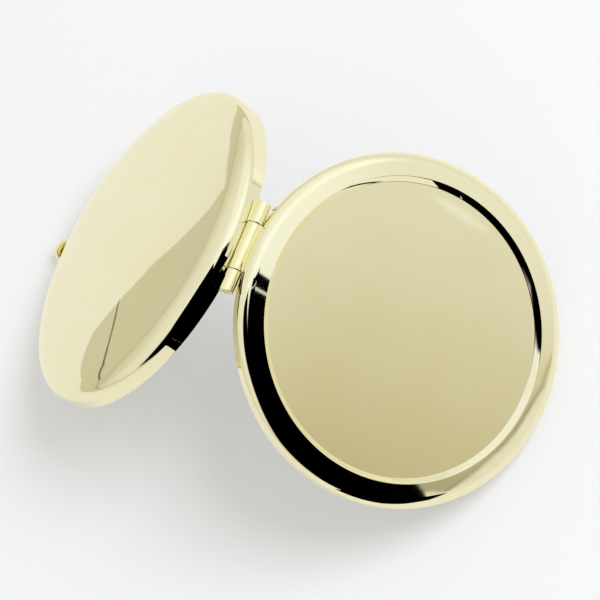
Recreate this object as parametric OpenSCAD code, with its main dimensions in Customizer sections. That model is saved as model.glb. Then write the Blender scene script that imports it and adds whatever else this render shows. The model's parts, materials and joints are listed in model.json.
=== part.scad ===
// Round metal compact mirror, open and standing like a tent on its two rims.
// The hinge barrel lies along Y at the top, the base half leans to -X and the lid half to +X.
// Each half is drawn lying flat in its own plane: X runs from the hinge axis across the disc,
// Y runs along the hinge, and Z points outwards from the plane where the halves meet.

/* [Case] */
// Outer diameter of both halves
case_d = 70; // [60:0.5:80]
// Thickness of the stamped metal of both shells
shell_t = 0.8; // [0.6:0.05:1]
// Height of the base at its edge, up to where the shoulder of its dome would meet the side wall
base_h = 4.15; // [4.1:0.05:5.5]
// Radius of the dome's shoulder, seen from the side
shoulder_r = 16; // [12:0.5:20]
// Steepness of the shoulder at the side wall, in degrees
edge_slope = 24; // [16:1:28]
// Steepness of the dome where it meets the shoulder, in degrees
dome_slope = 5; // [3:0.5:8]
// Radius of the edge between the base's side wall and the shoulder
base_round = 2; // [1:0.1:2.2]
// Height of the lid, up to the crest of its raised rim
lid_h = 4.2; // [4.1:0.05:5]
// Radius of the raised rim, which is almost flat, seen from the side
crown_r = 70; // [50:1:90]
// Distance of the rim's crest from the edge of the case
crest_in = 5.5; // [5.2:0.1:5.8]
// Radius of the lid's round outer edge
lid_round = 2.2; // [1.9:0.05:2.4]
// Gap between the rims of the closed halves
halves_gap = 0.3; // [0.2:0.05:0.5]
// Angle between the open halves
open_angle = 96; // [80:1:120]

/* [Insert recess] */
// Width of the raised rim round the recess, which leaves 58.2 mm for a 58 mm insert
rim_w = 5.9; // [5:0.05:6.5]
// Depth of the recess below the crest of the raised rim
recess_depth = 1; // [0.9:0.05:1.05]
// Radius of the round edge between the raised rim and the recess
recess_round = 0.7; // [0.5:0.05:0.75]

/* [Mirrors] */
// Gap between the edge of the mirrors and the rolled ends of the latch spring
mirror_gap = 0.74; // [0.6:0.01:1.2]
// Thickness of the lid's flat glass
lid_glass_t = 1.2; // [1:0.05:1.3]
// Thickness of the base's magnifying glass at its edge
base_glass_t = 1.8; // [1.5:0.05:2]
// Depth of the magnifying glass's hollow front at its centre
magnifier_dip = 0.65; // [0.3:0.05:0.9]
// Thickness of the foam pad behind the base's mirror
base_pad_t = 0.45; // [0.3:0.05:0.6]
// Smaller radius of the foam pads than of the mirrors
pad_inset = 2; // [1:0.5:6]
// Thickness of the trim rings that hold the mirrors
bezel_t = 0.5; // [0.4:0.05:0.6]
// Overlap of the trim rings on the mirrors
bezel_lip = 0.6; // [0.4:0.05:1]
// Depth of the trim rings below the rims of the halves
bezel_drop = 0.2; // [0.1:0.05:0.3]
// Thickness of the floor of the base's inner frame
frame_floor_t = 0.7; // [0.5:0.05:0.9]

/* [Hinge] */
// Diameter of the hinge barrel
barrel_d = 3; // [2.6:0.1:3.4]
// Length of the whole barrel
barrel_len = 19.2; // [16:0.1:22]
// Length of the middle knuckle, which belongs to the lid
middle_len = 10; // [8:0.1:12]
// Gap between neighbouring knuckles
knuckle_gap = 0.1; // [0.05:0.01:0.2]
// Distance from the hinge axis to the edge of the closed case
hinge_setback = 0.8; // [0.5:0.05:1.2]
// Diameter of the hinge pin
pin_d = 1.2; // [1:0.05:1.4]
// Length of pin that stands out of each end of the barrel
pin_proud = 0.15; // [0.1:0.05:0.4]
// Clearance round the pin in the base's knuckles
pin_fit = 0.01; // [0.01:0.01:0.03]
// Clearance round the pin in the lid's knuckle
pin_run = 0.05; // [0.03:0.01:0.08]
// Thickness of the hinge leaves
leaf_t = 0.55; // [0.4:0.05:0.7]
// Reach of the leaves from the hinge axis into the halves
leaf_reach = 4.6; // [4:0.1:5.5]
// Width of the part of the leaves that lies inside the halves
leaf_grip = 1.9; // [1.5:0.1:2.5]
// Clearance between the barrel and the rims that it sits in
barrel_clear = 0.25; // [0.2:0.05:0.4]
// Height of the slot in the base's wall behind the middle knuckle
slot_h = 2; // [1.9:0.05:2.4]

/* [Push button] */
// Diameter of the button's cap
button_d = 4.8; // [4:0.1:5.4]
// Length of the straight side of the cap
cap_straight = 1.1; // [0.8:0.05:1.6]
// Length of the cap's round end
cap_dome = 1.6; // [1:0.05:2]
// Gap between the cap and the case at rest
button_stand = 1.2; // [1.1:0.05:1.6]
// Travel of the button
button_travel = 1; // [0.7:0.05:1]
// Diameter of the button's neck
neck_d = 1.5; // [1.3:0.05:1.6]
// Diameter of the riveted tail that holds the cap on the slider
tail_d = 1; // [0.8:0.05:1.2]
// Height of the button's axis above the plane where the halves meet
button_h = 2.5; // [2.4:0.05:2.8]
// Clearance round the neck in the base's wall
neck_clear = 0.15; // [0.1:0.05:0.3]

/* [Latch] */
// Width of the latch slider
slider_w = 8; // [7:0.1:9]
// Thickness of the latch slider
slider_t = 0.8; // [0.6:0.05:0.9]
// Depth of the slider's catch bar, along its travel
bar_d = 1; // [0.8:0.05:1.2]
// Length of the slider's window for the hook
window_l = 2.2; // [2.1:0.05:2.4]
// Width of the slider's window for the hook
window_w = 5.6; // [5.4:0.1:6]
// Thickness of the slider's upright tab
tab_t = 0.7; // [0.6:0.05:0.8]
// Width of the slider's upright tab
tab_w = 3.2; // [2.8:0.1:3.6]
// Width of the hook
hook_w = 4.8; // [4:0.1:5]
// Thickness of the hook's upright
hook_t = 0.8; // [0.6:0.05:0.9]
// Length of the hook's barb
barb_l = 0.5; // [0.45:0.05:0.6]
// Thickness of the hook's barb
barb_t = 0.7; // [0.5:0.05:0.8]
// Overlap of the closed hook's barb and the catch bar
latch_bite = 0.4; // [0.3:0.05:0.4]
// Play between the closed hook's barb and the catch bar
latch_play = 0.2; // [0.15:0.05:0.3]
// Thickness of the hook's foot
foot_t = 0.5; // [0.4:0.05:0.6]
// Width of the hook's foot
foot_w = 10; // [9.6:0.1:11]
// Depth of the hook's foot, along the slider's travel
foot_d = 3.6; // [3:0.1:4]
// Diameter of the hook's rivets
rivet_d = 1; // [0.8:0.05:1.2]
// Length of the hook's rivets below the foot
rivet_l = 0.9; // [0.7:0.05:1]
// Thickness of the latch spring
spring_t = 0.2; // [0.15:0.01:0.25]
// Half of the latch spring's span between its rolled ends
spring_half = 6.4; // [6:0.1:7]
// Bow of the latch spring at rest
spring_bow = 1.1; // [1.1:0.05:1.3]
// Radius of the latch spring's rolled ends
spring_curl_r = 0.35; // [0.3:0.01:0.4]

/* [Hidden] */

// Play between pieces that are pressed or glued together, and between those that slide
fit = 0.05;
slide = 0.05;
// Gap between the mirrors' edges and the frames round them
glass_clear = 0.15;
// Gap round the hook and the barb in what they pass through
hook_clear = 0.2;
// Overrun of every cut
over = 0.5;

pale_gold = [0.93, 0.9, 0.75];
deep_gold = [0.82, 0.7, 0.42];
mirror_silver = [0.85, 0.88, 0.9];
foam_grey = [0.35, 0.35, 0.36];
spring_steel = [0.55, 0.56, 0.58];

case_r = case_d / 2;
inner_r = case_r - shell_t;
fill_r = inner_r - fit;
reach = case_r + hinge_setback;
rim_z = halves_gap / 2;

// The dome is a cap of a sphere, and its shoulder is an arc that meets the sphere without a crease
// and passes through the top of the side wall.
shoulder_x = case_r - shoulder_r * sin(edge_slope);
shoulder_z = base_h - shoulder_r * cos(edge_slope);
dome_edge = shoulder_x + shoulder_r * sin(dome_slope);
dome_r = dome_edge / sin(dome_slope);
dome_z = shoulder_z + (shoulder_r - dome_r) * cos(dome_slope);
base_top = dome_z + dome_r;
inner_round = fit;

// The lid's raised rim is an arc from the recess to the side wall.
recess_r = case_r - rim_w;
crown_x = case_r - crest_in;
crown_z = lid_h - crown_r;
recess_z = lid_h - recess_depth;
recess_under = recess_z - shell_t;

// Layers of both halves, outwards from the plane where they meet
bezel_z = rim_z + bezel_drop;
glass_z = bezel_z + bezel_t;
base_pad_z = glass_z + base_glass_t;
base_floor_z = base_pad_z + base_pad_t;
base_frame_top = base_floor_z + frame_floor_t;
lid_pad_z = glass_z + lid_glass_t;
lid_pad_t = recess_under - lid_pad_z;
// Hinge
barrel_r = barrel_d / 2;
pin_r = pin_d / 2;
barrel_half = barrel_len / 2;
middle_half = middle_len / 2;
leaf_z = glass_z + slide;

// Latch, with distances from the middle of the disc
latch_z = glass_z + slide;
channel_z = latch_z + slider_t + slide;
tab_out = sqrt(pow(fill_r - fit, 2) - pow(tab_w / 2, 2));
tab_in = tab_out - tab_t;
window_in = tab_in - window_l;
bar_in = window_in - bar_d;
barb_tip = window_in - latch_bite;
hook_in = barb_tip + barb_l;
hook_out = hook_in + hook_t;
barb_top = latch_z + slider_t + latch_play;
barb_bottom = barb_top + barb_t;
tab_top = button_h + neck_d / 2;
foot_in = hook_out - foot_d + hook_t;
foot_out = foot_in + foot_d;
rivet_y = (foot_w + hook_w) / 4;
rivet_x = (foot_in + foot_out) / 2;
spring_mid = bar_in - spring_t / 2;
spring_end = spring_mid - spring_bow;
spring_r = (spring_half * spring_half + spring_bow * spring_bow) / (2 * spring_bow);

// Mirrors, which reach as far as the latch spring leaves room
mirror_r = norm([spring_end - spring_curl_r - mirror_gap, spring_half]);
pad_r = mirror_r - pad_inset;
cavity_r = mirror_r + glass_clear;
bezel_in_r = mirror_r - bezel_lip;
dip_r = (bezel_in_r * bezel_in_r + magnifier_dip * magnifier_dip) / (2 * magnifier_dip);

// Number of steps in the curve of the magnifying glass
dip_steps = 14;

// Button
button_r = button_d / 2;
neck_r = neck_d / 2;
tail_r = tail_d / 2;
cap_back = case_r + button_stand;
cap_edge = cap_back + cap_straight;
cap_r = (button_r * button_r + cap_dome * cap_dome) / (2 * cap_dome);
cap_c = cap_edge + cap_dome - cap_r;

// The open case rests on the lid's rim and on the round end of the button.
// The slopes of the two halves follow from the height of both above the floor.
fold = 180 - open_angle;
lid_far = reach + case_r;
cap_far = reach + cap_c;
rest_s = lid_far + cap_far * cos(fold) + button_h * sin(fold);
rest_c = button_h * cos(fold) - cap_far * sin(fold) - rim_z;
lid_slope = asin(cap_r / norm([rest_s, rest_c])) - atan2(rest_c, rest_s);
base_slope = fold - lid_slope;

// Centre of an edge round of radius r between an arc and an upright wall.
// The arc has the centre c and the radius big; side is 1 for a wall on the right of the metal.
function round_x(wall, side, r) = wall - side * r;
function round_z(c, big, wall, side, r) =
    c.y + sqrt(pow(big - r, 2) - pow(round_x(wall, side, r) - c.x, 2));

lid_edge_z = round_z([crown_x, crown_z], crown_r, case_r, 1, lid_round);

// Outermost points of the open case, measured from the hinge axis
left_x = cap_far * cos(base_slope) + button_h * sin(base_slope) + cap_r;
right_x = (lid_far - lid_round) * cos(lid_slope) + lid_edge_z * sin(lid_slope) + lid_round;
floor_z = -lid_far * sin(lid_slope) + rim_z * cos(lid_slope);
hinge_x = (left_x - right_x) / 2;

// Places one half on the hinge axis of the open case.
module at_base() {
    translate([hinge_x, 0, -floor_z])
        rotate([0, -base_slope, 0])
            rotate([0, 0, 180])
                children();
}

module at_lid() {
    translate([hinge_x, 0, -floor_z])
        rotate([0, lid_slope, 0])
            children();
}

// Turns a profile of radius and height round the middle of the disc.
module spun() {
    translate([reach, 0, 0])
        rotate_extrude($fn = 180)
            children();
}

// A box from its lowest corner to its highest one, with X measured from the middle of the disc.
module block(low, high) {
    translate([reach + low.x, low.y, low.z])
        cube(high - low);
}

// What is cut away to round the edge between an arc and an upright wall.
module edge_round(c, big, wall, side, r) {
    f = [round_x(wall, side, r), round_z(c, big, wall, side, r)];
    n = (f - c) / (big - r);
    difference() {
        polygon([f, [wall + side * over, f.y], [wall + side * over, c.y + big + over], c + n * (big + over)]);
        translate(f)
            circle(r, $fn = 64);
    }
}

// Area under the base's dome and shoulder. inset is its distance from the outer face.
module base_area(inset, low, r) {
    difference() {
        union() {
            intersection() {
                translate([0, dome_z])
                    circle(dome_r - inset, $fn = 900);
                translate([0, low])
                    square([dome_edge - inset * sin(dome_slope), base_top - low]);
            }
            intersection() {
                translate([shoulder_x, shoulder_z])
                    circle(shoulder_r - inset, $fn = 360);
                translate([shoulder_x, low])
                    square([case_r - inset - shoulder_x, base_top - low]);
            }
        }
        edge_round([shoulder_x, shoulder_z], shoulder_r - inset, case_r - inset, 1, r);
    }
}

// Area under the lid's raised rim, from one radius to another. inset is its distance from the outer face.
module rim_area(inset, low, from_r, to_r) {
    intersection() {
        translate([crown_x, crown_z])
            circle(crown_r - inset, $fn = 360);
        translate([from_r, low])
            square([to_r - from_r, lid_h - low]);
    }
}

module base_profile() {
    difference() {
        base_area(0, rim_z, base_round);
        base_area(shell_t, rim_z - over, inner_round);
    }
}

// The round outer edge of the lid, at a distance from its outer face
module lid_edge(inset) {
    edge_round([crown_x, crown_z], crown_r - inset, case_r - inset, 1, lid_round - inset);
}

module lid_profile() {
    difference() {
        union() {
            translate([0, rim_z])
                square([recess_r + shell_t, recess_z - rim_z]);
            difference() {
                rim_area(0, rim_z, recess_r, case_r);
                lid_edge(0);
                edge_round([crown_x, crown_z], crown_r, recess_r, -1, recess_round);
            }
        }
        difference() {
            union() {
                translate([0, rim_z - over])
                    square([inner_r, recess_under - rim_z + over]);
                rim_area(shell_t, rim_z, recess_r + shell_t, inner_r);
            }
            lid_edge(shell_t);
        }
    }
}

// A cylinder along the hinge, between two places on it.
module barrel(r, from_y, to_y) {
    translate([0, to_y, 0])
        rotate([90, 0, 0])
            cylinder(r = r, h = to_y - from_y, $fn = 64);
}

// Room for the barrel in the rims of both halves.
module barrel_room() {
    barrel(barrel_r + barrel_clear, -barrel_half - barrel_clear, barrel_half + barrel_clear);
}

// A flat tongue of a hinge leaf, grown by play on all its sides.
module tongue(from_x, half, middle, play) {
    translate([from_x, middle - half - play, leaf_z - play])
        cube([leaf_reach + play - from_x, 2 * (half + play), leaf_t + 2 * play]);
}

outer_half = (barrel_half - middle_half - knuckle_gap) / 2;
outer_mid = barrel_half - outer_half;

// Tongues of the base's leaf: two under its knuckles and one across inside the wall
module base_tongues(play) {
    for (side = [-1, 1])
        tongue(0, outer_half, side * outer_mid, play);
    tongue(leaf_reach - leaf_grip, barrel_half, 0, play);
}

// Tongues of the lid's leaf: one under its knuckle and a wider one inside the wall
module lid_tongues(play) {
    tongue(0, middle_half, 0, play);
    tongue(leaf_reach - leaf_grip, (middle_half + barrel_half) / 2, 0, play);
}

// Slot in the base's wall behind the middle knuckle
module knuckle_slot() {
    translate([-over, -middle_half - knuckle_gap, -over])
        cube([leaf_reach - leaf_grip + over, 2 * (middle_half + knuckle_gap), slot_h + over]);
}

// A pin along the button's axis, between two distances from the middle of the disc
module stem(r, from_x, to_x) {
    translate([reach + from_x, 0, button_h])
        rotate([0, 90, 0])
            cylinder(r = r, h = to_x - from_x, $fn = 64);
}

// Room for the slider, the hook and the spring in the base's frame
module latch_room() {
    half = slider_w / 2 + slide;
    deep = hook_w / 2 + hook_clear;
    low = glass_z - over;
    spring_room = spring_curl_r + slide;
    block([spring_end - spring_curl_r, -half, low], [case_r, half, channel_z]);
    block([bar_in - button_travel, -deep, low], [case_r, deep, base_floor_z]);
    block([tab_in - button_travel - slide, -tab_w / 2 - slide, low], [case_r, tab_w / 2 + slide, base_top]);
    block([spring_end - spring_room, -spring_half - spring_room, low],
          [bar_in, spring_half + spring_room, channel_z]);
}

module base_shell() {
    color(pale_gold)
        at_base()
            difference() {
                spun()
                    base_profile();
                barrel_room();
                base_tongues(slide);
                knuckle_slot();
                stem(neck_r + neck_clear, inner_r - over, case_r + over);
            }
}

module base_frame() {
    color(deep_gold)
        at_base()
            difference() {
                spun()
                    difference() {
                        intersection() {
                            base_area(shell_t + fit, glass_z, inner_round);
                            translate([0, glass_z])
                                square([fill_r, base_frame_top - glass_z]);
                        }
                        translate([0, glass_z - over])
                            square([cavity_r, base_floor_z - glass_z + over]);
                    }
                base_tongues(slide);
                latch_room();
            }
}

// A trim ring with a round inner edge
module bezel() {
    bead = bezel_t / 2;
    spun()
        union() {
            translate([bezel_in_r + bead, bezel_z])
                square([fill_r - bezel_in_r - bead, bezel_t]);
            translate([bezel_in_r + bead, bezel_z + bead])
                circle(bead, $fn = 32);
        }
}

module base_bezel() {
    half = hook_w / 2 + hook_clear;
    color(pale_gold)
        at_base()
            difference() {
                bezel();
                barrel_room();
                knuckle_slot();
                block([barb_tip - hook_clear, -half, 0], [hook_out + hook_clear, half, glass_z + over]);
            }
}

// Height of the magnifying glass's hollow front at a distance from its middle
function dip_at(x) = glass_z + magnifier_dip - dip_r + sqrt(dip_r * dip_r - x * x);

module base_mirror() {
    color(mirror_silver)
        at_base()
            spun()
                polygon([
                    for (step = [0 : dip_steps])
                        let (x = bezel_in_r * step / dip_steps) [x, dip_at(x)],
                    [mirror_r, glass_z],
                    [mirror_r, base_pad_z],
                    [0, base_pad_z]
                ]);
}

module base_mirror_pad() {
    color(foam_grey)
        at_base()
            translate([reach, 0, base_pad_z])
                cylinder(r = pad_r, h = base_pad_t, $fn = 180);
}

module base_hinge_leaf() {
    color(pale_gold)
        at_base()
            difference() {
                union() {
                    barrel(barrel_r, -barrel_half, -middle_half - knuckle_gap);
                    barrel(barrel_r, middle_half + knuckle_gap, barrel_half);
                    base_tongues(0);
                }
                barrel(pin_r + pin_fit, -barrel_half - over, barrel_half + over);
            }
}

module hinge_pin() {
    tip = barrel_half + pin_proud;
    color(deep_gold)
        at_base()
            intersection() {
                barrel(pin_r, -tip, tip);
                rotate([90, 0, 0])
                    for (side = [0, 1])
                        mirror([0, 0, side])
                            translate([0, 0, -over])
                                cylinder(r1 = tip + over, r2 = pin_r - pin_proud, h = tip + over, $fn = 64);
            }
}

// A bowed strip whose rolled ends press on the frame and whose middle presses on the slider
module latch_spring() {
    color(spring_steel)
        at_base()
            translate([reach, 0, latch_z])
                linear_extrude(slider_t)
                    union() {
                        intersection() {
                            translate([spring_mid - spring_r, 0])
                                difference() {
                                    circle(spring_r + spring_t / 2, $fn = 360);
                                    circle(spring_r - spring_t / 2, $fn = 360);
                                }
                            translate([spring_end, -spring_half])
                                square([spring_bow + spring_t, 2 * spring_half]);
                        }
                        for (side = [-1, 1])
                            translate([spring_end, side * spring_half])
                                circle(spring_curl_r, $fn = 32);
                    }
}

// Half of the button's outline, with its axis upright and heights from the middle of the disc
module button_profile() {
    intersection() {
        translate([0, cap_c])
            circle(cap_r, $fn = 96);
        translate([0, cap_back])
            square([button_r, cap_straight + cap_dome]);
    }
    translate([0, tab_out])
        square([neck_r, cap_back + cap_straight / 2 - tab_out]);
    translate([0, tab_in])
        square([tail_r, cap_back - tab_in]);
}

module button_cap() {
    color(pale_gold)
        at_base()
            translate([reach, 0, button_h])
                rotate([0, 90, 0])
                    rotate_extrude($fn = 96)
                        button_profile();
}

// A plate with a window for the hook, a catch bar behind it and an upright tab for the button
module latch_slider() {
    half = slider_w / 2;
    plate_top = latch_z + slider_t;
    color(spring_steel)
        at_base()
            difference() {
                intersection() {
                    union() {
                        block([bar_in, -half, latch_z], [case_r, half, plate_top]);
                        block([tab_in, -tab_w / 2, latch_z], [tab_out, tab_w / 2, tab_top]);
                    }
                    translate([reach, 0, 0])
                        cylinder(r = fill_r - fit, h = base_top, $fn = 180);
                }
                block([window_in, -window_w / 2, latch_z - over], [tab_in, window_w / 2, plate_top + over]);
                stem(tail_r, tab_in - over, case_r);
            }
}

module lid_shell() {
    color(pale_gold)
        at_lid()
            difference() {
                spun()
                    lid_profile();
                barrel_room();
                lid_tongues(slide);
            }
}

module lid_frame() {
    foot_half = foot_w / 2 + slide;
    color(deep_gold)
        at_lid()
            difference() {
                spun()
                    difference() {
                        union() {
                            translate([cavity_r, glass_z])
                                square([fill_r - cavity_r, recess_under - fit - glass_z]);
                            rim_area(shell_t + fit, glass_z, recess_r + shell_t + fit, fill_r);
                        }
                        lid_edge(shell_t + fit);
                    }
                barrel_room();
                lid_tongues(slide);
                block([foot_in - slide, -foot_half, glass_z - over], [foot_out + slide, foot_half, glass_z + foot_t]);
                hook_rivets_at(0);
            }
}

module lid_bezel() {
    half = hook_w / 2 + slide;
    color(pale_gold)
        at_lid()
            difference() {
                bezel();
                barrel_room();
                block([hook_in - slide, -half, 0], [hook_out + slide, half, glass_z + over]);
            }
}

module lid_mirror() {
    color(mirror_silver)
        at_lid()
            translate([reach, 0, glass_z])
                cylinder(r = mirror_r, h = lid_glass_t, $fn = 180);
}

module lid_mirror_pad() {
    color(foam_grey)
        at_lid()
            translate([reach, 0, lid_pad_z])
                cylinder(r = pad_r, h = lid_pad_t, $fn = 180);
}

module lid_hinge_leaf() {
    color(pale_gold)
        at_lid()
            difference() {
                union() {
                    barrel(barrel_r, -middle_half, middle_half);
                    lid_tongues(0);
                }
                barrel(pin_r + pin_run, -barrel_half, barrel_half);
            }
}

// The hook's upright and barb, seen along the hinge. Its heights are negative, because it
// reaches out of the lid and into the base.
module hook_profile() {
    polygon([
        [hook_in, glass_z + foot_t],
        [hook_in, -barb_top],
        [barb_tip, -barb_top],
        [barb_tip, -barb_top - barb_t / 3],
        [hook_in, -barb_bottom],
        [hook_out - hook_t / 4, -barb_bottom],
        [hook_out, -barb_bottom + hook_t / 4],
        [hook_out, glass_z + foot_t]
    ]);
}

module latch_hook() {
    color(spring_steel)
        at_lid()
            difference() {
                union() {
                    translate([reach, hook_w / 2, 0])
                        rotate([90, 0, 0])
                            linear_extrude(hook_w)
                                hook_profile();
                    block([foot_in, -foot_w / 2, glass_z], [foot_out, foot_w / 2, glass_z + foot_t]);
                }
                hook_rivets_at(0);
            }
}

// Rivets that hold the hook's foot to the lid's frame, flush with the foot
module hook_rivets_at(play) {
    for (side = [-1, 1])
        translate([reach + rivet_x, side * rivet_y, glass_z])
            cylinder(r = rivet_d / 2 + play, h = foot_t + rivet_l, $fn = 32);
}

module hook_rivets() {
    color(deep_gold)
        at_lid()
            hook_rivets_at(0);
}

base_shell();
base_frame();
base_bezel();
base_mirror();
base_mirror_pad();
base_hinge_leaf();
hinge_pin();
latch_spring();
button_cap();
latch_slider();
lid_shell();
lid_frame();
lid_bezel();
lid_mirror();
lid_mirror_pad();
lid_hinge_leaf();
latch_hook();
hook_rivets();
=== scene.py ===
"""Looks of a round metal compact mirror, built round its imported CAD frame.

The case stands open like a tent. Both halves, the hinge and the button are turned, rolled and
stamped here as the real pieces are, and dressed in polished pale gold plating.
"""

import json
import logging
import math
from dataclasses import dataclass
from enum import Enum
from typing import Any, Sequence

import bpy
from mathutils import Matrix, Vector

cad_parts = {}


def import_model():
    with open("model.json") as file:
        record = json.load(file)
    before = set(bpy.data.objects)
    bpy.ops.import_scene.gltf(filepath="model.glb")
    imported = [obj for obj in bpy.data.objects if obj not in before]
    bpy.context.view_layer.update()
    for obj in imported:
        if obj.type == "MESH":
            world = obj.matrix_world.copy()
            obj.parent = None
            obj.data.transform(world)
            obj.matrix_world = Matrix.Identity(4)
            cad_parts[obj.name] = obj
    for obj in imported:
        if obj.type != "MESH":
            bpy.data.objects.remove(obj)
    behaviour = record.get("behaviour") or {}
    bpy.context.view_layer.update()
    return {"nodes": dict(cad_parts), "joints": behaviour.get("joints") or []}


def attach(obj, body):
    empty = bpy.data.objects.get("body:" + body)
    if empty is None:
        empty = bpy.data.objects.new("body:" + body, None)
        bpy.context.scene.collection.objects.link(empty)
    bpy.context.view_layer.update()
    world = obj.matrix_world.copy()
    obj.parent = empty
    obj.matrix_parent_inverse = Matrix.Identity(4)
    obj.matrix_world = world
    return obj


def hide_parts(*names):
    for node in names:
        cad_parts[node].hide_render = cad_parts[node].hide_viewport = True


log = logging.getLogger("compact_mirror")

MM = 0.001  # metres in a millimetre
MERGE_GAP = 0.0005 * MM
TURN_STEPS = 288  # steps of the spin of what is as wide as the case
BUTTON_TURN_STEPS = 96
PIN_TURN_STEPS = 48
END_PART = 0.15  # length of the first and last part of a bar, which keep its shading flat, in millimetres
PAST = 0.5  # how far a cutter reaches past what it cuts, in millimetres
NOISE_LOW, NOISE_HIGH = 0.35, 0.65  # limits that a noise stays between nearly everywhere
MIX_A, MIX_B, MIX_RESULT = 6, 7, 2  # the mix node's sockets for colours

Point = tuple[float, float]
Corner = tuple[float, float, float]
Curve = tuple[Point, ...]
Tree = bpy.types.NodeTree
Socket = bpy.types.NodeSocket
Piece = bpy.types.Object


# ---------------------------------------------------------------------------------------------
# Sizes
# ---------------------------------------------------------------------------------------------


@dataclass(frozen=True)
class CaseSizes:
    """Sizes of the case in millimetres: the CAD's, and those of the stamped step that only the scene has."""

    case_r: float = 35.0
    shell_t: float = 0.8
    base_h: float = 4.15
    shoulder_r: float = 16.0
    edge_slope: float = 24.0
    dome_slope: float = 5.0
    base_round: float = 2.0
    lid_h: float = 4.2
    crown_r: float = 70.0
    crest_in: float = 5.5
    lid_round: float = 2.2
    rim_z: float = 0.15
    recess_r: float = 29.1
    recess_depth: float = 1.0
    rim_slope: float = 2.0
    step_r: float = 30.18
    step_slope: float = 46.0
    step_end_slope: float = 26.0
    step_round: float = 0.16
    step_foot: float = 0.12
    floor_rings: Point = (10.0, 20.0)
    floor_flat_r: float = 28.4
    lip_round: float = 0.12
    inner_round: float = 0.3
    hinge_setback: float = 0.8
    open_angle: float = 96.0
    mirror_r: float = 28.6
    lid_glass_t: float = 1.2
    base_glass_t: float = 1.8
    magnifier_dip: float = 0.65
    bezel_t: float = 0.5
    bezel_lip: float = 0.6
    bezel_drop: float = 0.2
    glass_edge: float = 0.15
    fit: float = 0.05

    @property
    def reach(self) -> float:
        """Distance from the hinge axis to the middle of each disc."""
        return self.case_r + self.hinge_setback

    @property
    def inner_r(self) -> float:
        """Radius of the inner side of the walls."""
        return self.case_r - self.shell_t

    @property
    def fill_r(self) -> float:
        """Radius of what is pressed into the shells."""
        return self.inner_r - self.fit

    @property
    def shoulder(self) -> Point:
        """Centre of the dome's shoulder arc."""
        slope = math.radians(self.edge_slope)
        return (self.case_r - self.shoulder_r * math.sin(slope),
                self.base_h - self.shoulder_r * math.cos(slope))

    @property
    def dome_r(self) -> float:
        """Radius of the sphere that the dome is a cap of."""
        slope = math.sin(math.radians(self.dome_slope))
        return (self.shoulder[0] + self.shoulder_r * slope) / slope

    @property
    def dome_z(self) -> float:
        """Height of the centre of the dome's sphere."""
        slope = math.cos(math.radians(self.dome_slope))
        return self.shoulder[1] + (self.shoulder_r - self.dome_r) * slope

    @property
    def crown(self) -> Point:
        """Centre of the arc of the lid's raised rim."""
        return (self.case_r - self.crest_in, self.lid_h - self.crown_r)

    @property
    def recess_z(self) -> float:
        """Height of the recess's floor."""
        return self.lid_h - self.recess_depth

    @property
    def bezel_z(self) -> float:
        """Height of the outer face of the trim rings."""
        return self.rim_z + self.bezel_drop

    @property
    def glass_z(self) -> float:
        """Height of the front of both mirrors."""
        return self.bezel_z + self.bezel_t


@dataclass(frozen=True)
class HingeSizes:
    """Sizes of the three-knuckle hinge in millimetres.

    They are the CAD's, but for the slot in the base's wall: barrel_clear and slot_h close it to the narrow
    gap that shows, and the rolled seam and the broken edges are the scene's own.
    """

    barrel_r: float = 1.5
    barrel_half: float = 9.6
    middle_half: float = 5.0
    knuckle_gap: float = 0.1
    pin_r: float = 0.6
    pin_proud: float = 0.15
    bore_r: float = 0.63
    leaf_t: float = 0.55
    leaf_z: float = 0.9
    leaf_reach: float = 4.6
    leaf_grip: float = 1.9
    barrel_clear: float = 0.15
    slot_h: float = 1.45
    slide: float = 0.05
    seam: float = 380.0  # angle at which the rolled strip ends, just under its own start
    tuck: float = 0.2
    knuckle_edge: float = 0.07
    plate_edge: float = 0.05


@dataclass(frozen=True)
class ButtonSizes:
    """Sizes of the push button in millimetres, the same as the CAD's."""

    cap_r: float = 2.4
    straight: float = 1.1
    dome: float = 1.6
    stand: float = 1.2
    neck_r: float = 0.75
    neck_clear: float = 0.15
    tail_r: float = 0.5
    height: float = 2.5
    tab_out: float = 34.0624
    tab_in: float = 33.3624
    rim_edge: float = 0.22
    neck_edge: float = 0.1


@dataclass(frozen=True)
class LatchSizes:
    """Sizes in millimetres of the openings that the hook needs in both trim rings, the same as the CAD's."""

    base_slot: Point = (30.5624, 32.2624)
    base_half: float = 2.6
    lid_slot: Point = (31.2124, 32.1124)
    lid_half: float = 2.45
    slot_top: float = 1.35


@dataclass(frozen=True)
class RingSizes:
    """Sizes in millimetres of the small turned forms of the trim rings."""

    edge: float = 0.08
    groove_in: float = 1.1
    groove_w: float = 0.4
    groove_depth: float = 0.06
    groove_side: float = 0.08


# ---------------------------------------------------------------------------------------------
# Curves of the profiles
# ---------------------------------------------------------------------------------------------


def arc(centre: Point, radius: float, start: float, end: float, steps: int) -> list[Point]:
    """Points on an arc of a profile.

    Args:
        centre: Centre of the arc, as radius and height.
        radius: Radius of the arc in millimetres.
        start: Angle of the first point in degrees, from the radius axis towards the height.
        end: Angle of the last point in degrees.
        steps: Number of steps between them.

    Returns:
        The points, with both ends.
    """
    points = []
    for step in range(steps + 1):
        angle = math.radians(start + (end - start) * step / steps)
        points.append((centre[0] + radius * math.cos(angle), centre[1] + radius * math.sin(angle)))
    return points


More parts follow.
